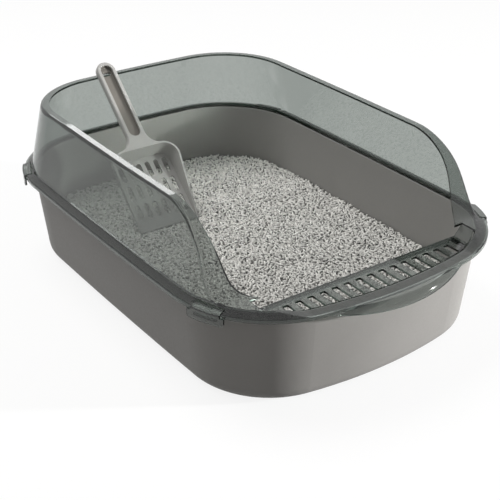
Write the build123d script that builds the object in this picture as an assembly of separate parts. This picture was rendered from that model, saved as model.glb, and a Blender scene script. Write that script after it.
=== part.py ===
"""Semi-open cat litter tray: basin, litter, splash guard, slotted entry step, four latches and a scoop."""
from build123d import *
import math
import os

os.makedirs("parts", exist_ok=True)

# Frame: X across, Y from the front to the back, Z up, origin under the middle of the tray. Millimetres.

# Rim outline: four bowed sides with round corners
outline_length = 520.0
outline_width = 368.0
front_bow = 34.0
side_bow = 3.3
back_bow = 8.7
front_corner_radius = 112.0
rear_corner_radius = 112.0

# Basin
rim_height = 104.0
rim_thickness = 3.0
rim_inner_inset = 13.8
rim_edge_radius = 1.2
basin_wall = 3.0
basin_floor = 3.0
basin_draft = 10.8
basin_bottom_radius = 14.0

# Litter
litter_level = 38.0
litter_gap = 0.3
heap_pitch = 22.0
heap_depth = 2.4
heap_depth_shares = (0.0, 0.6, 0.25, 0.9, 0.4, 1.0, 0.1, 0.7, 0.5, 0.15, 0.8)

# Guard: flange and skirt round the rim
skirt_wall = 2.2
skirt_clearance = 0.4
skirt_drop = 2.5
flange_edge_height = 1.8
flange_height = 4.5
flange_inner_inset = 13.0
flange_edge_radius = 1.5

# Guard: leaning wall, lip turned in along its top, and the sweep down to the front
guard_height = 182.0
guard_wall = 2.2
guard_base_inset = 8.5
guard_top_inset = 25.0
opening_inset = 34.5
lip_bend_radius = 4.0
sweep_start_from_front = 160.0
sweep_angle = 64.0
sweep_straight_length = 20.8
sweep_foot_radius = 24.0
sweep_foot_lift = 0.3

# Guard: apron that rolls out over the front
apron_reach = 12.0
apron_half_width = 78.0
apron_end_length = 12.0
apron_blend_radius = 60.0
apron_drop = 6.0
apron_roll_radius = 9.0

# Guard: pocket behind the front flange, with a ledge for the step
step_depth = 61.5
pocket_clearance = 0.5
pocket_wall = 2.0
pocket_side_inset = 60.0
pocket_end_spread = 10.0
pocket_front_spread = 4.5
entry_lip = 1.0
entry_half_width = 100.0
entry_ramp_length = 24.0
ledge_width = 3.0
ledge_thickness = 2.0

# Slotted entry step
tread_drop = 7.0
tread_thickness = 2.4
tread_clearance = 0.3
tread_rib_height = 3.0
tread_rib_thickness = 3.0
slot_end_margin = 22.0
slot_pitch = 14.5
slot_width = 7.0
slot_back_margin = 10.0
slot_front_margin = 3.5
slot_corner_radius = 1.5

# Latches: flaps in notches of the flange that swing up on two trunnions
latch_angle = 23.0
latch_length = 32.0
latch_tab_length = 40.0
latch_thickness = 1.9
latch_gap = 0.4
latch_tab_drop = 7.5
latch_tab_corner_radius = 3.0
latch_skirt_overlap = 1.0
latch_axis_inset = 6.2
latch_axis_lift = 2.4
latch_barrel_radius = 1.6
latch_hook_clearance = 0.3
latch_hook_length = 24.0
latch_hook_height = 2.6
latch_hook_slack = 0.8
trunnion_radius = 0.9
trunnion_length = 2.0
trunnion_clearance = 0.1

# Scoop, lying on its own plane: Y from the tip to the handle end, Z up from the pan's underside
scoop_length = 212.0
pan_width = 87.0
pan_length = 97.0
pan_corner_radius = 19.0
pan_wall = 2.2
pan_lean = 6.0
pan_tip_height = 3.5
pan_back_height = 20.0
pan_slot_columns = 6
pan_slot_rows = 3
pan_slot_pitch = 11.5
pan_slot_row_pitch = 24.8
pan_slot_width = 6.2
pan_slot_length = 19.5
pan_slot_first = 24.0
handle_width = 24.0
handle_thickness = 8.0
handle_flare_radius = 17.0
handle_edge_radius = 2.0
channel_width = 15.0
channel_depth = 4.0
channel_start = 111.0
hang_hole_width = 5.0
hang_hole_length = 11.0
hang_hole_from_end = 15.0
scoop_x = -45.0
scoop_tip_from_back = 172.0
scoop_gap = 0.3

# Cuts run past the faces that they open by this much
overrun = 12.0

# Places that follow from the sizes above
back_y = (outline_length + apron_reach) / 2
front_y = back_y - outline_length
step_edge_y = front_y + step_depth
sweep_start_y = front_y + sweep_start_from_front
scoop_tip_y = back_y - scoop_tip_from_back
basin_top_inset = rim_inner_inset - basin_wall
rim_outer_inset = skirt_wall + skirt_clearance
rim_under = rim_height - rim_thickness
skirt_low = rim_height - skirt_drop
flange_edge = rim_height + flange_edge_height
flange_top = rim_height + flange_height
entry_top = rim_height + entry_lip
tread_top = rim_height - tread_drop
tread_low = tread_top - tread_thickness
ledge_low = tread_low - ledge_thickness
pocket_half_width = outline_width / 2 - pocket_side_inset
wide = outline_width + outline_length


def basin_inset(height):
    """Inset of the basin's outer wall from the rim outline at a height."""
    return basin_top_inset + basin_draft * (1 - height / rim_height)


def guard_inset(height):
    """Inset of the guard's outer wall from the rim outline at a height."""
    share = (height - flange_top) / (guard_height - flange_top)
    return guard_base_inset + (guard_top_inset - guard_base_inset) * share


def bow_radius(half_chord, bow):
    """Radius of an arc that stands off its chord by the bow."""
    return (half_chord ** 2 + bow ** 2) / (2 * bow)


front_radius = bow_radius(outline_width / 2 - side_bow, front_bow)
back_radius = bow_radius(outline_width / 2 - side_bow, back_bow)


def plan_outline(inset):
    """Rim outline as a face on the ground, moved inwards by the inset."""
    half_width = outline_width / 2
    half_side = (outline_length - front_bow - back_bow) / 2
    side_y = back_y - back_bow - half_side
    side_radius = bow_radius(half_side, side_bow)
    face = Pos(0, front_y + front_radius) * Circle(front_radius - inset)
    face &= Pos(0, back_y - back_radius) * Circle(back_radius - inset)
    face &= Pos(half_width - side_radius, side_y) * Circle(side_radius - inset)
    face &= Pos(side_radius - half_width, side_y) * Circle(side_radius - inset)
    face = fillet(face.vertices().sort_by(Axis.Y)[:2], front_corner_radius - inset)
    return fillet(face.vertices().sort_by(Axis.Y)[-2:], rear_corner_radius - inset)


def slab(inset, low, high):
    """Straight-sided block of the outline between two heights."""
    return Pos(0, 0, low) * extrude(plan_outline(inset), high - low)


def plug(low_inset, low, high_inset, high):
    """Block whose sides lean from one inset at its foot to another at its top."""
    foot = Pos(0, 0, low) * plan_outline(low_inset)
    top = Pos(0, 0, high) * plan_outline(high_inset)
    return loft([foot, top], ruled=True)


def bottom_edges(solid):
    """Edges round the lowest face of a solid."""
    return solid.faces().sort_by(Axis.Z)[0].edges()


def cavity(gap, high):
    """Inside of the basin, kept a gap away from its walls, up to a height."""
    low = basin_floor
    shape = plug(basin_inset(low) + basin_wall + gap, low, basin_inset(high) + basin_wall + gap, high)
    return fillet(bottom_edges(shape), basin_bottom_radius - basin_floor)


def make_basin():
    body = plug(basin_inset(0), 0, basin_inset(rim_height), rim_height)
    body = fillet(bottom_edges(body), basin_bottom_radius)
    rim = slab(rim_outer_inset, rim_under, rim_height)
    rim = fillet(bottom_edges(rim), rim_edge_radius)
    basin = body + rim - cavity(0, rim_height + overrun)
    top_ring = basin.faces().sort_by(Axis.Z)[-1]
    return fillet(top_ring.inner_wires()[0].edges(), rim_edge_radius)


def heap_row(row, columns):
    """Points along one row of the uneven litter; odd rows are staggered and row 0 lies level under the scoop."""
    edge = columns * heap_pitch
    stagger = heap_pitch / 2 * (row % 2)
    points = []
    for column in range(-columns - row % 2, columns + 1):
        x = max(-edge, min(edge, column * heap_pitch + stagger))
        share = heap_depth_shares[(column ** 2 + 3 * column * row + 5 * row ** 2) % len(heap_depth_shares)]
        points.append(Vector(x, scoop_tip_y + row * heap_pitch, litter_level - heap_depth * share * min(1, abs(row))))
    return points


def heap_block():
    """Block with low uneven heaps on its top, wider than the tray."""
    columns = int(outline_width / 2 / heap_pitch) + 1
    first = -int((scoop_tip_y - front_y) / heap_pitch) - 1
    last = int((back_y - scoop_tip_y) / heap_pitch) + 1
    rows = [heap_row(row, columns) for row in range(first, last + 1)]
    corners = []
    for one, two in zip(rows, rows[1:]):
        short, long = sorted((one, two), key=len)
        corners += [(long[i], long[i + 1], short[i]) for i in range(len(short))]
        corners += [(short[i], short[i + 1], long[i + 1]) for i in range(len(short) - 1)]
    sides = [rows[0], rows[-1], [row[0] for row in rows], [row[-1] for row in rows]]
    for side in sides:
        corners.append([*side, Vector(side[-1].X, side[-1].Y, 0), Vector(side[0].X, side[0].Y, 0)])
    corners.append([Vector(p.X, p.Y, 0) for p in (rows[0][0], rows[0][-1], rows[-1][-1], rows[-1][0])])
    return Solid(Shell([Face(Wire.make_polygon(loop)) for loop in corners]))


def make_litter():
    return cavity(litter_gap, litter_level + overrun) & heap_block()


def under_sweep(depth):
    """Space below the guard's top and its sweep to the front, lowered by a depth."""
    slope = math.radians(sweep_angle)
    half_turn = math.tan(slope / 2)
    sweep_foot = flange_top + sweep_foot_lift
    slope_length = (guard_height - sweep_foot) / math.sin(slope)
    crest_length = slope_length - sweep_straight_length - sweep_foot_radius * half_turn
    crest_radius = crest_length / half_turn - depth
    top = guard_height - depth
    foot = sweep_foot - depth
    crest_y = sweep_start_y - crest_radius * half_turn
    foot_y = crest_y - (top - foot) / math.tan(slope)
    behind = back_y + overrun
    ahead = front_y - overrun
    corners = [(behind, 0), (behind, top), (crest_y, top), (foot_y, foot), (ahead, foot), (ahead, 0)]
    face = make_face(Polyline(*corners, close=True))
    face = fillet(face.vertices().sort_by(Axis.X)[3], crest_radius)
    face = fillet(face.vertices().sort_by(Axis.X)[2], sweep_foot_radius + depth)
    return extrude(Plane.YZ * face, wide, both=True)


def make_guard_shell():
    """Leaning wall with its top turned in, still closed over the opening."""
    low = rim_height - overrun / 2
    high = guard_height + overrun
    foot_inset = guard_inset(low)
    top_inset = guard_inset(high)
    outer = plug(foot_inset, low, top_inset, high) & under_sweep(0)
    inner = plug(foot_inset + guard_wall, low, top_inset + guard_wall, high) & under_sweep(guard_wall)
    bend = outer.edges().filter_by(lambda e: e.center().Z > flange_top - overrun / 4)
    outer = fillet(bend, lip_bend_radius)
    return (outer - inner) & slab(-overrun, rim_height, high)


def make_flange():
    """Ring that sits on the rim, with a skirt down its outside."""
    crown_inset = guard_base_inset + guard_wall / 2
    ring = slab(0, skirt_low, flange_edge) + plug(0, flange_edge, crown_inset, flange_top)
    shoulder = ring.edges().filter_by(lambda e: abs(e.center().Z - flange_edge) < flange_edge_height / 4)
    ring = fillet(shoulder, flange_edge_radius)
    ring -= slab(flange_inner_inset, skirt_low - overrun, flange_top + overrun)
    return ring - slab(skirt_wall, skirt_low - overrun, rim_height)


def apron_plan(reach):
    """Plan of the apron at one height: a bulge that blends into the front, a little inside the skirt's face."""
    root_radius = front_radius - skirt_wall / 4
    end_rise = root_radius - math.sqrt(root_radius ** 2 - apron_half_width ** 2)
    bulge_radius = bow_radius(apron_half_width, end_rise + reach)
    front_center = Vector(0, front_y + front_radius)
    bulge_center = Vector(0, front_y - reach + bulge_radius)

    # Each blend arc touches the front arc and the bulge from outside
    front_span = root_radius + apron_blend_radius
    bulge_span = bulge_radius + apron_blend_radius
    blend_y = (front_center.Y ** 2 - bulge_center.Y ** 2 - front_span ** 2 + bulge_span ** 2)
    blend_y /= 2 * (front_center.Y - bulge_center.Y)
    blend_x = math.sqrt(front_span ** 2 - (blend_y - front_center.Y) ** 2)
    blend_center = Vector(blend_x, blend_y)
    front_meet = front_center + (blend_center - front_center) * (root_radius / front_span)
    bulge_meet = bulge_center + (blend_center - bulge_center) * (bulge_radius / bulge_span)
    towards_tray = (front_meet + bulge_meet - blend_center * 2).normalized()
    blend_middle = blend_center + towards_tray * apron_blend_radius

    half = apron_half_width + apron_end_length
    front_end = Vector(half, front_center.Y - math.sqrt(root_radius ** 2 - half ** 2))
    towards_front = (front_end + front_meet - front_center * 2).normalized()
    front_middle = front_center + towards_front * root_radius
    inner_corner = Vector(half, front_y + front_bow)

    bulge_left = (-bulge_meet.X, bulge_meet.Y)
    bulge_right = (bulge_meet.X, bulge_meet.Y)
    edges = [ThreePointArc(bulge_left, (0, front_y - reach), bulge_right)]
    for side in (-1, 1):
        blend = [(side * p.X, p.Y) for p in (bulge_meet, blend_middle, front_meet)]
        front = [(side * p.X, p.Y) for p in (front_meet, front_middle, front_end)]
        end = [(side * p.X, p.Y) for p in (front_end, inner_corner)]
        edges += [ThreePointArc(*blend), ThreePointArc(*front), Line(*end)]
    edges.append(Line((-inner_corner.X, inner_corner.Y), (inner_corner.X, inner_corner.Y)))
    return make_face(edges)


def make_apron():
    """Lip rolled out and down in front of the flange, deepest in the middle and hollow from below."""
    low = skirt_low - apron_drop
    lip = Pos(0, 0, low) * extrude(apron_plan(apron_reach), flange_edge - low)
    top_front = lip.faces().sort_by(Axis.Z)[-1].edges().filter_by(GeomType.CIRCLE)
    lip = fillet(top_front, apron_roll_radius)
    hollow = Pos(0, guard_wall, -guard_wall) * lip
    hollow -= slab(skirt_wall / 4, skirt_low, flange_edge + overrun)
    half = apron_half_width + apron_end_length
    arch = ThreePointArc((-half, skirt_low), (0, low), (half, skirt_low))
    lid = Polyline((half, skirt_low), (half, flange_top), (-half, flange_top), (-half, skirt_low))
    window = extrude(Plane.XZ * make_face([arch, lid]), wide, both=True)
    lip &= window
    return lip - slab(skirt_wall * 3 / 4, low - overrun, flange_edge + overrun) - hollow


def pocket_wedge(end_gap, low, high):
    """Space between the pocket's leaning ends, from outside the tray to the step's back edge."""
    foot = pocket_half_width - end_gap
    lean = pocket_end_spread / (flange_top - tread_top)
    foot_low = foot + (low - tread_top) * lean
    foot_high = foot + (high - tread_top) * lean
    corners = [(-foot_low, low), (foot_low, low), (foot_high, high), (-foot_high, high)]
    return entry_prism(corners)


def entry_prism(corners):
    """Prism with the given corners seen from the front, from outside the tray to the step's back edge."""
    ends = make_face(Polyline(*corners, close=True))
    return extrude(Plane.XZ.offset(-step_edge_y) * ends, step_edge_y - front_y + overrun)


def pocket_space(inset, end_gap, low, high):
    """Space of the pocket, with its front leaning out; the inset is that at the tread's top."""
    lean = pocket_front_spread / (entry_top - tread_top)
    low_inset = inset - (low - tread_top) * lean
    high_inset = inset - (high - tread_top) * lean
    return pocket_wedge(end_gap, low, high) & plug(low_inset, low, high_inset, high)


def entry_cut():
    """Space over the front flange, which is thin and low between two ramps."""
    high = flange_top + entry_lip
    far = entry_half_width + entry_ramp_length * (high - entry_top) / (flange_top - entry_top)
    near = entry_half_width
    return entry_prism([(-near, entry_top), (near, entry_top), (far, high), (-far, high)])


pocket_outer_inset = basin_inset(ledge_low) + basin_wall + pocket_clearance
pocket_inset = pocket_outer_inset + 2 * pocket_wall


def latch_plane(side, end):
    """Frame of a latch: X along the rim, Y inwards, Z up, at the rim outline on the ground."""
    radius = rear_corner_radius if end > 0 else front_corner_radius
    corner_point = Vector(side * outline_width / 2, back_y if end > 0 else front_y)
    corner = plan_outline(0).edges().sort_by_distance(corner_point)[0]
    angle = math.radians(latch_angle)
    outwards = Vector(side * math.cos(angle), end * math.sin(angle))
    along = Vector(0, 0, 1).cross(outwards)
    return Plane(corner.arc_center + outwards * radius, x_dir=along, z_dir=(0, 0, 1))


def latch_block(plane, length, near, far, low, high):
    """Block in a latch's frame: a length along the rim, between two insets and two heights."""
    return plane * Pos(0, (near + far) / 2, (low + high) / 2) * Box(length, far - near, high - low)


def latch_rod(plane, radius, length):
    """Round rod along a latch's hinge axis."""
    axis_z = rim_height + latch_axis_lift
    return plane * Pos(0, latch_axis_inset, axis_z) * Rot(0, 90, 0) * Cylinder(radius, length)


def make_guard():
    guard = make_guard_shell() + make_flange() + make_apron()
    guard += pocket_wedge(-pocket_wall, ledge_low, flange_top) & slab(pocket_outer_inset, ledge_low, flange_top)
    guard -= pocket_space(pocket_inset, 0, tread_low, flange_top + overrun)
    guard -= pocket_space(pocket_inset + ledge_width, ledge_width, ledge_low - overrun, tread_top)
    guard -= entry_cut()
    behind_step = Pos(0, step_edge_y + wide / 2) * Box(wide, wide, wide)
    guard -= slab(opening_inset, 0, guard_height + overrun) & behind_step
    notch_length = latch_length + 2 * latch_gap
    notch_inset = latch_axis_inset + latch_barrel_radius + latch_gap
    bore_radius = trunnion_radius + trunnion_clearance
    bore_length = notch_length + 2 * trunnion_length
    for plane in latch_planes.values():
        guard -= latch_block(plane, notch_length, -overrun, notch_inset, 0, flange_top + overrun)
        guard -= latch_rod(plane, bore_radius, bore_length)
    return guard


def make_step():
    low = tread_low
    plate = pocket_space(pocket_inset + tread_clearance, tread_clearance, low, tread_top)
    rib_half = pocket_half_width - ledge_width - pocket_end_spread / 2
    rib_y = step_edge_y - tread_rib_thickness / 2
    rib_low = low - tread_rib_height
    plate += Pos(0, rib_y, (rib_low + low) / 2) * Box(2 * rib_half, tread_rib_thickness, tread_rib_height)
    field_radius = front_radius - pocket_inset - tread_clearance - slot_front_margin
    slot_back = step_edge_y - slot_back_margin
    side_slots = int((pocket_half_width - slot_end_margin) / slot_pitch)
    for index in range(-side_slots, side_slots + 1):
        x = index * slot_pitch
        slot_front = front_y + front_radius - math.sqrt(field_radius ** 2 - x ** 2)
        slot = RectangleRounded(slot_width, slot_back - slot_front, slot_corner_radius)
        slot = Pos(x, (slot_front + slot_back) / 2, low - overrun) * slot
        plate -= extrude(slot, tread_thickness + 2 * overrun)
    return plate


def make_latch(plane):
    outer_inset = -(latch_gap + latch_thickness)
    tab_low = skirt_low - latch_tab_drop
    tab_high = skirt_low + latch_skirt_overlap
    crown = rim_height + latch_axis_lift + latch_barrel_radius
    inner_edge = flange_edge - latch_thickness
    inner_crown = crown - latch_thickness

    outside = slab(outer_inset, tab_low, flange_edge)
    outside += plug(outer_inset, flange_edge, latch_axis_inset, crown)
    inside = slab(-latch_gap, tab_low - overrun, inner_edge)
    inside += plug(-latch_gap, inner_edge, latch_axis_inset, inner_crown)
    sheet = outside - inside
    below = tab_low - overrun
    above = crown + overrun
    flap = sheet & latch_block(plane, latch_length, -overrun, latch_axis_inset, below, above)
    tab = sheet & latch_block(plane, latch_tab_length, -overrun, latch_axis_inset, below, tab_high)
    low_edges = bottom_edges(tab).filter_by(lambda e: e.length < latch_hook_length)
    tab = fillet(low_edges, latch_tab_corner_radius)

    hook_top = rim_under - latch_hook_slack
    hook = slab(outer_inset, hook_top - latch_hook_height, hook_top)
    hook -= slab(rim_outer_inset - latch_hook_clearance, below, above)
    hook = hook & latch_block(plane, latch_hook_length, -overrun, 2 * latch_axis_inset, below, above)
    barrel = latch_rod(plane, latch_barrel_radius, latch_length)
    trunnions = latch_rod(plane, trunnion_radius, latch_length + 2 * trunnion_length)
    return tab + flap + hook + barrel + trunnions


def pan_plan(inset, ahead):
    """Plan of the scoop's pan, moved inwards at its sides and back, reaching ahead of its tip."""
    half = pan_width / 2 - inset
    back = pan_length - inset
    face = make_face(Polyline((-half, -ahead), (half, -ahead), (half, back), (-half, back), close=True))
    return fillet(face.vertices().sort_by(Axis.Y)[-2:], pan_corner_radius - inset)


def make_scoop_flat():
    """Scoop lying on its pan's plane, with the middle of its tip at the origin."""
    level_start = pan_length - pan_corner_radius
    profile = [(0, 0), (pan_length, 0), (pan_length, pan_back_height)]
    profile += [(level_start, pan_back_height), (0, pan_tip_height)]
    side = make_face(Polyline(*profile, close=True))
    pan = loft([pan_plan(pan_lean, 0), Pos(0, 0, pan_back_height) * pan_plan(0, 0)], ruled=True)
    pan &= extrude(Plane.YZ * side, pan_width, both=True)
    inner_top = pan_back_height + overrun
    lean = pan_lean / pan_back_height
    inner_foot = pan_plan(pan_wall + pan_lean - pan_wall * lean, overrun)
    inner_rim = pan_plan(pan_wall - overrun * lean, overrun)
    inside = loft([Pos(0, 0, pan_wall) * inner_foot, Pos(0, 0, inner_top) * inner_rim], ruled=True)
    pan -= inside

    end_y = scoop_length - handle_width / 2
    flare = Pos(0, pan_length - pan_corner_radius / 2) * Rectangle(pan_width, pan_corner_radius)
    grip = Pos(0, (pan_length + end_y) / 2) * Rectangle(handle_width, end_y - pan_length)
    outline = flare + grip + Pos(0, end_y) * Circle(handle_width / 2)
    inner_corners = [v for v in outline.vertices()
                     if abs(abs(v.X) - handle_width / 2) < pan_wall and abs(v.Y - pan_length) < pan_wall]
    outline = fillet(inner_corners, handle_flare_radius)
    low = pan_back_height - handle_thickness
    handle = Pos(0, 0, low) * extrude(outline, handle_thickness)
    handle = fillet(handle.edges().filter_by(Plane.XY), handle_edge_radius)
    handle -= inside
    behind_pan = Pos(0, pan_length + scoop_length / 2) * Rectangle(pan_width, scoop_length)
    handle &= extrude(pan_plan(0, 0) + behind_pan, pan_back_height)

    channel_end = scoop_length - (handle_width - channel_width) / 2
    channel_y = (channel_start + channel_end) / 2
    channel = Pos(0, channel_y) * Rot(0, 0, 90) * SlotOverall(channel_end - channel_start, channel_width)
    handle -= Pos(0, 0, pan_back_height - channel_depth) * extrude(channel, channel_depth + overrun)
    hole = Pos(0, scoop_length - hang_hole_from_end) * SlotOverall(hang_hole_length, hang_hole_width)
    handle -= extrude(hole, pan_back_height + overrun)

    scoop = pan + handle
    for row in range(pan_slot_rows):
        for column in range(pan_slot_columns):
            x = (column - (pan_slot_columns - 1) / 2) * pan_slot_pitch
            y = pan_slot_first + row * pan_slot_row_pitch
            slot = Pos(x, y) * Rot(0, 0, 90) * SlotOverall(pan_slot_length, pan_slot_width)
            scoop -= Pos(0, 0, -overrun) * extrude(slot, pan_wall + 2 * overrun)
    return scoop


def make_scoop():
    """Scoop with its tip on the litter and its handle leaning on the back lip."""
    tip_z = litter_level + scoop_gap
    handle_far_x = abs(scoop_x) + handle_width / 2
    lip_y = back_y - back_radius + math.sqrt((back_radius - opening_inset) ** 2 - handle_far_x ** 2)
    reach = lip_y - scoop_tip_y
    rise = guard_height + scoop_gap - tip_z
    distance = math.hypot(reach, rise)
    handle_low = pan_back_height - handle_thickness
    lean = math.atan2(rise, reach) - math.asin(handle_low / distance)
    return Pos(scoop_x, scoop_tip_y, tip_z) * Rot(math.degrees(lean), 0, 0) * make_scoop_flat()


latch_planes = {
    "latch_front_left": latch_plane(-1, -1),
    "latch_front_right": latch_plane(1, -1),
    "latch_rear_left": latch_plane(-1, 1),
    "latch_rear_right": latch_plane(1, 1),
}

nodes = {
    "basin": make_basin(),
    "litter_bed": make_litter(),
    "splash_guard": make_guard(),
    "entry_step": make_step(),
    "scoop": make_scoop(),
}
for name, plane in latch_planes.items():
    nodes[name] = make_latch(plane)

for name, shape in nodes.items():
    export_step(shape, f"parts/{name}.step")
    print(name, len(shape.solids()), round(shape.volume))
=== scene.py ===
"""Looks of the semi-open cat litter tray: clear smoked guard, matte basin, satin scoop and loose granules."""

import bpy
import math
import numpy as np
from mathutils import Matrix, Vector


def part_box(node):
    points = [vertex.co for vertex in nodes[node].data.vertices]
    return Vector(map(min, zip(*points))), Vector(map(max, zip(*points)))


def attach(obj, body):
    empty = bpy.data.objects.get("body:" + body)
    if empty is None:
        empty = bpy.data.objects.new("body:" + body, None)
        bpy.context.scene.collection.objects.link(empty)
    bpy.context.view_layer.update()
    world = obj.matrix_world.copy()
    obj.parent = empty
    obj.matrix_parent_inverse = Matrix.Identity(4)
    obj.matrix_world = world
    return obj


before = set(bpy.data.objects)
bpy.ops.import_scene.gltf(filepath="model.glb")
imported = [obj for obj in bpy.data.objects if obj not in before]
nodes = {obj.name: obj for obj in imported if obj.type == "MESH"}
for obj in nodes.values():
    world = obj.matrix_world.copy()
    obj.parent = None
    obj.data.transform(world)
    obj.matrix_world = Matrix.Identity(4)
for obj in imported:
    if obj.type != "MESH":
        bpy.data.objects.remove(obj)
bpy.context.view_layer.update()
scene = bpy.context.scene
scene.view_settings.view_transform = "Standard"

# Camera, metres and degrees
camera_place = (-0.62613, -0.89040, 0.62405)
camera_azimuth = -35.23
camera_elevation = 28.47
camera_lens = 79.2
camera_sensor = 36.0
camera_clip_start = 0.01

# Lamps: place, aim and size in metres, watts, colour, and the rays that don't see the lamp
lamps = {
    "lamp_over": ((-0.40, 0.80, 1.75), (0.0, 0.0, 0.05), (1.2, 1.2), 27.0, (1.0, 0.99, 0.975), ("glossy",)),
    "lamp_low_right": ((1.67, -1.40, 0.425), (0.0, 0.0, 0.10), (0.09, 0.09), 87.0, (1.0, 0.99, 0.98),
                       ("glossy",)),
    "lamp_left": ((-2.0, 0.1, 0.9), (0.0, 0.0, 0.05), (1.4, 1.0), 3.0, (1.0, 0.985, 0.97), ()),
    "card_behind": ((0.84, 2.0, 1.22), (-0.15, 0.05, 0.18), (0.8, 0.36), 3.6, (1.0, 1.0, 1.0),
                    ("diffuse", "transmission")),
}

# Floor and surroundings
white = (1.0, 1.0, 1.0)
floor_half = 20.0
floor_drop = 0.0003
floor_colour = (0.24, 0.228, 0.215)
floor_seen_colour = (0.95, 0.95, 0.95)
floor_glow_share = 0.86
fill_strength = 0.26
white_strength = 1.0

# Range in which nearly all of a noise lies
noise_low = 0.3
noise_high = 0.7

# Moulded plastics: two colours of a faint cloud, grain scale and depth, roughness range
basin_colours = ((0.232, 0.227, 0.218), (0.258, 0.252, 0.243))
basin_grain_scale = 1300.0
basin_grain_depth = 0.00022
basin_roughness = (0.50, 0.64)
scoop_colours = ((0.33, 0.326, 0.316), (0.355, 0.351, 0.341))
scoop_grain_scale = 1900.0
scoop_grain_depth = 0.00006
scoop_roughness = (0.34, 0.46)
# Painted shade: darker colour laid on the floor of the scoop handle's sunk channel
channel_painted_shade = (0.15, 0.14, 0.125)
cloud_scale = 7.0
grain_strength = 0.35
rough_scale_share = 0.35
flow_scale = 18.0
flow_strength = 0.06
flow_depth = 0.002
moulded_ior = 1.5

# Clear plastics: face colour, absorption, colour of their shadows and roughness range
clear_colour = (0.66, 0.67, 0.66)
clear_absorb = (0.31, 0.385, 0.345)
clear_density = 360.0
clear_ior = 1.49
clear_rough_scale = 35.0
clear_wave_scale = 14.0
clear_wave_strength = 0.05
clear_wave_depth = 0.002
guard_shadow = (0.84, 0.85, 0.842)
guard_roughness = (0.01, 0.05)
step_shadow = (0.90, 0.91, 0.905)
step_roughness = (0.03, 0.08)

# Litter: colours of the darkest and palest pellets, their chalky face, and the dark bed below them, painted
# shade for the gaps between the pellets
pellet_colours = ((0.16, 0.156, 0.149), (0.93, 0.915, 0.885))
pellet_chalk_scale = 1800.0
pellet_chalk_strength = 0.5
pellet_chalk_depth = 0.0003
pellet_rough_scale = 900.0
pellet_roughness = (0.8, 0.95)
# Painted shade: dark colours of the bed that shows between the pellets
gap_shade_colours = ((0.12, 0.117, 0.112), (0.04, 0.039, 0.037))
gap_shade_scale = 360.0
gap_shade_bump_strength = 0.8
gap_shade_bump_depth = 0.0008
gap_shade_roughness = 0.92

# Litter pellets, metres
pellet_length = 0.0044
pellet_width = 0.0019
pellet_length_shares = (0.6, 1.3)
pellet_width_shares = (0.85, 1.2)
pellet_chip_shares = (0.82, 1.12)
pellet_pitch = 0.0032
# Painted shade: the lower layer's dark tone stands for shade beneath the upper layer; the upper's is the
# pellets' own tone
lower_painted_shade_and_upper_tone = (0.10, 0.88)
pellet_shade_spread = 0.13
pellet_jitter_share = 0.45
pellet_tilt = math.radians(24)
pellet_sink = 0.0004
pellet_layer = 0.0012
pellet_edge_gap = 0.0014
pellet_seed = 11
bed_edge_share = 0.9
above_tray = 1.0

# Scoop: lean, tip and the channel in its handle on the scoop's own plane, which bound the painted shade on
# the channel floor
scoop_lean = math.radians(43.05)
scoop_tip = (-0.045, 0.094, 0.0383)
scoop_half_width = 0.040
channel_start = 0.111
channel_half_length = 0.05
channel_end_margin = 0.0005
channel_half_width = 0.0077
channel_floor = 0.016
channel_floor_margin = 0.0012


def add(tree, kind, inputs=None, **props):
    """New node with its properties set and its inputs filled or linked."""
    item = tree.nodes.new(kind)
    for key, value in props.items():
        setattr(item, key, value)
    for key, value in (inputs or {}).items():
        if isinstance(value, bpy.types.NodeSocket):
            tree.links.new(value, item.inputs[key])
        else:
            item.inputs[key].default_value = value
    return item


def blank_material(name):
    """Material with an empty node tree and its output node."""
    material = bpy.data.materials.new(name)
    material.use_nodes = True
    material.node_tree.nodes.clear()
    output = add(material.node_tree, "ShaderNodeOutputMaterial")
    return material, material.node_tree, output


def object_place(tree):
    return add(tree, "ShaderNodeTexCoord").outputs["Object"]


def speckle(tree, place, scale, detail=3.0, roughness=0.55):
    """Noise of a given scale over the object."""
    values = {"Vector": place, "Scale": scale, "Detail": detail, "Roughness": roughness}
    return add(tree, "ShaderNodeTexNoise", values).outputs["Fac"]


def ramp(tree, source, low, high):
    """Noise spread out to run from one number to another."""
    values = {"Value": source, "From Min": noise_low, "From Max": noise_high, "To Min": low, "To Max": high}
    return add(tree, "ShaderNodeMapRange", values).outputs["Result"]


def tint(tree, share, first, second):
    """Mix of two colours, each written or linked, by a share."""
    item = add(tree, "ShaderNodeMix", {"Factor": share}, data_type="RGBA")
    slots = [socket for socket in item.inputs if socket.type == "RGBA"]
    for socket, colour in zip(slots, (first, second)):
        if isinstance(colour, bpy.types.NodeSocket):
            tree.links.new(colour, socket)
        else:
            socket.default_value = (*colour, 1)
    return [socket for socket in item.outputs if socket.type == "RGBA"][0]


def bumps(tree, height, strength, distance, normal=None):
    values = {"Height": height, "Strength": strength, "Distance": distance}
    if normal is not None:
        values["Normal"] = normal
    return add(tree, "ShaderNodeBump", values).outputs["Normal"]


def principled(tree, output, **values):
    """Opaque surface with the given inputs."""
    inputs = {key.replace("_", " "): value for key, value in values.items()}
    shader = add(tree, "ShaderNodeBsdfPrincipled", inputs)
    tree.links.new(shader.outputs["BSDF"], output.inputs["Surface"])


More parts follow.
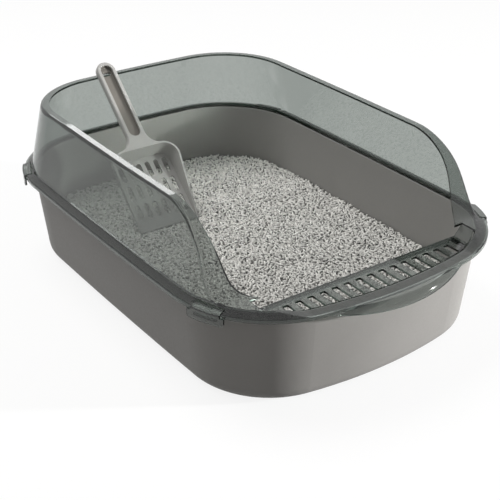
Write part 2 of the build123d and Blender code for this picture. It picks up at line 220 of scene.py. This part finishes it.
def moulded_plastic(name, colours, grain_scale, grain_depth, roughness, mask=None):
    """Opaque moulded plastic with a fine eroded grain and faint flow marks, and painted shade where it is
    masked.
    """
    material, tree, output = blank_material(name)
    place = object_place(tree)
    cloud = ramp(tree, speckle(tree, place, cloud_scale, detail=4.0), 0.0, 1.0)
    colour = tint(tree, cloud, *colours)
    if mask:
        # painted shade on the floor of the handle's channel
        colour = tint(tree, mask(tree, place), colour, channel_painted_shade)
    grain = speckle(tree, place, grain_scale, detail=2.0, roughness=0.6)
    rough = ramp(tree, speckle(tree, place, grain_scale * rough_scale_share), *roughness)
    flow = bumps(tree, speckle(tree, place, flow_scale, detail=1.0), flow_strength, flow_depth)
    normal = bumps(tree, grain, grain_strength, grain_depth, flow)
    principled(tree, output, Base_Color=colour, Roughness=rough, Normal=normal, IOR=moulded_ior)
    return material


def clear_plastic(name, shadow, roughness):
    """Smoked clear plastic that darkens along its edges and lets lamps through."""
    material, tree, output = blank_material(name)
    place = object_place(tree)
    rough = ramp(tree, speckle(tree, place, clear_rough_scale), *roughness)
    wave = speckle(tree, place, clear_wave_scale, detail=1.0)
    normal = bumps(tree, wave, clear_wave_strength, clear_wave_depth)
    values = {"Base Color": (*clear_colour, 1), "Roughness": rough, "Normal": normal}
    values |= {"IOR": clear_ior, "Transmission Weight": 1.0}
    glass = add(tree, "ShaderNodeBsdfPrincipled", values)
    veil = add(tree, "ShaderNodeBsdfTransparent", {"Color": (*shadow, 1)})
    is_shadow = add(tree, "ShaderNodeLightPath").outputs["Is Shadow Ray"]
    shader = add(tree, "ShaderNodeMixShader", {0: is_shadow, 1: glass.outputs[0], 2: veil.outputs[0]})
    tree.links.new(shader.outputs[0], output.inputs["Surface"])
    values = {"Color": (*clear_absorb, 1), "Density": clear_density}
    body = add(tree, "ShaderNodeVolumeAbsorption", values)
    tree.links.new(body.outputs[0], output.inputs["Volume"])
    return material


def channel_shade_mask(tree, place):
    """One on the floor of the handle's sunk channel, where its painted shade goes."""
    values = {0: place, 1: scoop_tip}
    offset = add(tree, "ShaderNodeVectorMath", values, operation="SUBTRACT").outputs[0]
    across = (1, 0, 0)
    along = (0, math.cos(scoop_lean), math.sin(scoop_lean))
    above = (0, -math.sin(scoop_lean), math.cos(scoop_lean))
    limits = [(across, 0.0, channel_half_width),
              (along, channel_start + channel_half_length, channel_half_length + channel_end_margin),
              (above, channel_floor, channel_floor_margin)]
    mask = 1.0
    for axis, middle, reach in limits:
        values = {0: offset, 1: axis}
        way = add(tree, "ShaderNodeVectorMath", values, operation="DOT_PRODUCT").outputs["Value"]
        values = {0: way, 1: middle, 2: reach}
        within = add(tree, "ShaderNodeMath", values, operation="COMPARE").outputs[0]
        mask = add(tree, "ShaderNodeMath", {0: mask, 1: within}, operation="MULTIPLY").outputs[0]
    return mask


def litter_material():
    """Pale mineral pellets: each has its own shade, with a chalky speckled face."""
    material, tree, output = blank_material("litter_mineral")
    place = object_place(tree)
    shade = add(tree, "ShaderNodeAttribute", attribute_name="shade").outputs["Fac"]
    colour = tint(tree, shade, *pellet_colours)
    chalk = speckle(tree, place, pellet_chalk_scale)
    normal = bumps(tree, chalk, pellet_chalk_strength, pellet_chalk_depth)
    rough = ramp(tree, speckle(tree, place, pellet_rough_scale), *pellet_roughness)
    principled(tree, output, Base_Color=colour, Roughness=rough, Normal=normal)
    return material


def gap_shade_bed_material():
    """Dark bed that shows between the pellets: painted shade for the gaps among them."""
    material, tree, output = blank_material("litter_gap_shade")
    values = {"Vector": object_place(tree), "Scale": gap_shade_scale}
    cells = add(tree, "ShaderNodeTexVoronoi", values).outputs["Distance"]
    colour = tint(tree, cells, *gap_shade_colours)
    normal = bumps(tree, cells, gap_shade_bump_strength, gap_shade_bump_depth)
    principled(tree, output, Base_Color=colour, Roughness=gap_shade_roughness, Normal=normal)
    return material


def dress(node, material):
    """Gives a CAD node one material."""
    nodes[node].data.materials.clear()
    nodes[node].data.materials.append(material)


basin_plastic = moulded_plastic("basin_plastic", basin_colours, basin_grain_scale, basin_grain_depth,
                                basin_roughness)
scoop_plastic = moulded_plastic("scoop_plastic", scoop_colours, scoop_grain_scale, scoop_grain_depth,
                                scoop_roughness, channel_shade_mask)
guard_clear = clear_plastic("guard_clear", guard_shadow, guard_roughness)
step_clear = clear_plastic("step_clear", step_shadow, step_roughness)
litter_mineral = litter_material()
litter_gap_shade = gap_shade_bed_material()

dress("basin", basin_plastic)
dress("litter_bed", litter_gap_shade)
dress("splash_guard", guard_clear)
dress("entry_step", step_clear)
dress("scoop", scoop_plastic)
for latch in [name for name in nodes if name.startswith("latch_")]:
    dress(latch, guard_clear)


def bed_heights(places):
    """Height of the litter bed under each place, or zero outside it."""
    bed = nodes["litter_bed"]
    heights = []
    for x, y in places:
        hit, point, _, _ = bed.ray_cast((x, y, above_tray), (0, 0, -1))
        heights.append(point.z if hit else 0.0)
    return np.array(heights)


def inside_bed(places):
    """Marks the places that lie on the bed by a gap from its edge."""
    inside = np.ones(len(places), bool)
    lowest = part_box("litter_bed")[1].z * bed_edge_share
    for step in ((1, 0), (-1, 0), (0, 1), (0, -1)):
        inside &= bed_heights(places + np.array(step) * pellet_edge_gap) > lowest
    return inside


def clear_of_scoop(places):
    """Marks the places that are not under the tip of the scoop's pan."""
    beside = np.abs(places[:, 0] - scoop_tip[0]) > scoop_half_width
    ahead = places[:, 1] < scoop_tip[1] - pellet_length
    behind = places[:, 1] > scoop_tip[1] + pellet_length
    return beside | ahead | behind


def pellet_axes(random, count):
    """Directions of the pellets: any way round, tilted a little, with two square directions."""
    turn = random.uniform(0, 2 * math.pi, count)
    tilt = random.normal(0, pellet_tilt, count)
    roll = random.uniform(0, 2 * math.pi, count)
    along = np.stack([np.cos(turn) * np.cos(tilt), np.sin(turn) * np.cos(tilt), np.sin(tilt)], axis=1)
    side = np.stack([-np.sin(turn), np.cos(turn), np.zeros(count)], axis=1)
    top = np.cross(along, side)
    first = side * np.cos(roll)[:, None] + top * np.sin(roll)[:, None]
    return along, first, np.cross(along, first)


def make_pellets(name, places, heights, shades, random):
    """One mesh of short chipped rods, each with its own shade."""
    count = len(places)
    along, first, second = pellet_axes(random, count)
    length = pellet_length * random.uniform(*pellet_length_shares, (count, 1)) / 2
    width = pellet_width * random.uniform(*pellet_width_shares, (count, 1)) / 2
    corners = []
    for end in (-1, 1):
        for one, two in ((1, 0), (0, 1), (-1, 0), (0, -1)):
            chip = random.uniform(*pellet_chip_shares, (count, 3))
            corner = along * end * length * chip[:, :1] + first * one * width * chip[:, 1:2]
            corners.append(corner + second * two * width * chip[:, 2:])
    shape = np.stack(corners, axis=1)
    shape += np.concatenate([places, heights[:, None]], axis=1)[:, None, :]
    faces = np.array([(3, 2, 1, 0), (4, 5, 6, 7), (0, 1, 5, 4), (1, 2, 6, 5), (2, 3, 7, 6), (3, 0, 4, 7)])
    index = faces[None, :, :] + len(corners) * np.arange(count)[:, None, None]
    mesh = bpy.data.meshes.new(name)
    mesh.from_pydata(shape.reshape(-1, 3).tolist(), [], index.reshape(-1, 4).tolist())
    mesh.shade_smooth()
    shade = np.clip(random.normal(shades, pellet_shade_spread), 0, 1)
    values = mesh.attributes.new("shade", "FLOAT", "POINT")
    values.data.foreach_set("value", np.repeat(shade, len(corners)).astype(np.float32))
    pellets = bpy.data.objects.new(name, mesh)
    scene.collection.objects.link(pellets)
    mesh.materials.append(litter_mineral)
    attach(pellets, "tray")


def scatter_litter():
    """Two layers of pellets on the bed's uneven top; the lower layer is painted dark as shade under the upper
    one, except under the scoop's tip, where only the lower layer lies and is pale.
    """
    random = np.random.default_rng(pellet_seed)
    low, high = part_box("litter_bed")
    across = np.arange(low.x, high.x, pellet_pitch)
    along = np.arange(low.y, high.y, pellet_pitch * math.sqrt(3) / 2)
    rows = [(x + pellet_pitch / 2 * (row % 2), y) for row, y in enumerate(along) for x in across]
    for layer, name in enumerate(("litter_pellets_lower", "litter_pellets_upper")):
        grid = np.array(rows)
        grid = grid + random.uniform(-1, 1, grid.shape) * pellet_jitter_share * pellet_pitch
        grid = grid[inside_bed(grid)]
        if layer:
            grid = grid[clear_of_scoop(grid)]
        heights = bed_heights(grid) - pellet_sink + layer * pellet_layer
        # painted shade on the lower layer, left pale under the scoop's tip where no upper layer lies
        shades = np.where(clear_of_scoop(grid), lower_painted_shade_and_upper_tone[layer], lower_painted_shade_and_upper_tone[1])
        make_pellets(name, grid, heights, shades, random)


scatter_litter()


def add_camera():
    data = bpy.data.cameras.new("camera")
    data.lens = camera_lens
    data.sensor_width = camera_sensor
    data.clip_start = camera_clip_start
    camera = bpy.data.objects.new("camera", data)
    camera.location = camera_place
    camera.rotation_euler = (math.radians(90 - camera_elevation), 0, math.radians(camera_azimuth))
    scene.collection.objects.link(camera)
    scene.camera = camera


def add_lamp(name, place, aim, size, watts, colour, unseen_by):
    """Soft lamp that looks at a point."""
    data = bpy.data.lights.new(name, "AREA")
    data.shape = "RECTANGLE"
    data.size, data.size_y = size
    data.energy = watts
    data.color = colour
    lamp = bpy.data.objects.new(name, data)
    lamp.location = place
    back = [p - a for p, a in zip(place, aim)]
    flat = math.hypot(back[0], back[1])
    lamp.rotation_euler = (math.atan2(flat, back[2]), 0, math.atan2(back[0], -back[1]))
    scene.collection.objects.link(lamp)
    for ray in unseen_by:
        setattr(lamp, f"visible_{ray}", False)


def seen_directly(tree):
    """One for rays from the camera, straight, mirrored or through clear things."""
    path = add(tree, "ShaderNodeLightPath")
    seen = path.outputs["Is Camera Ray"]
    for kind in ("Is Glossy Ray", "Is Transmission Ray"):
        values = {0: seen, 1: path.outputs[kind]}
        seen = add(tree, "ShaderNodeMath", values, operation="MAXIMUM").outputs[0]
    return seen


def add_floor():
    """Pale floor that stays near white and keeps a soft shadow."""
    mesh = bpy.data.meshes.new("floor")
    corners = [(x * floor_half, y * floor_half, 0) for x, y in ((-1, -1), (1, -1), (1, 1), (-1, 1))]
    mesh.from_pydata(corners, [], [(0, 1, 2, 3)])
    floor = bpy.data.objects.new("floor", mesh)
    floor.location = (0, 0, -floor_drop)
    scene.collection.objects.link(floor)
    material, tree, output = blank_material("floor_white")
    seen = seen_directly(tree)
    colour = tint(tree, seen, floor_colour, floor_seen_colour)
    matte = add(tree, "ShaderNodeBsdfDiffuse", {"Color": colour})
    glow = add(tree, "ShaderNodeEmission", {"Color": (*white, 1), "Strength": white_strength})
    share = add(tree, "ShaderNodeMath", {0: seen, 1: floor_glow_share}, operation="MULTIPLY")
    shader = add(tree, "ShaderNodeMixShader", {0: share.outputs[0], 1: matte.outputs[0], 2: glow.outputs[0]})
    tree.links.new(shader.outputs[0], output.inputs["Surface"])
    mesh.materials.append(material)


def add_world():
    """Even pale surroundings: soft fill for surfaces, white where it is seen."""
    world = bpy.data.worlds.new("studio")
    world.use_nodes = True
    tree = world.node_tree
    tree.nodes.clear()
    fill = add(tree, "ShaderNodeBackground", {"Color": (*white, 1), "Strength": fill_strength})
    seen = add(tree, "ShaderNodeBackground", {"Color": (*white, 1), "Strength": white_strength})
    values = {0: seen_directly(tree), 1: fill.outputs[0], 2: seen.outputs[0]}
    shader = add(tree, "ShaderNodeMixShader", values)
    add(tree, "ShaderNodeOutputWorld", {"Surface": shader.outputs[0]})
    scene.world = world


add_camera()
for lamp_name, lamp_values in lamps.items():
    add_lamp(lamp_name, *lamp_values)
add_floor()
add_world()
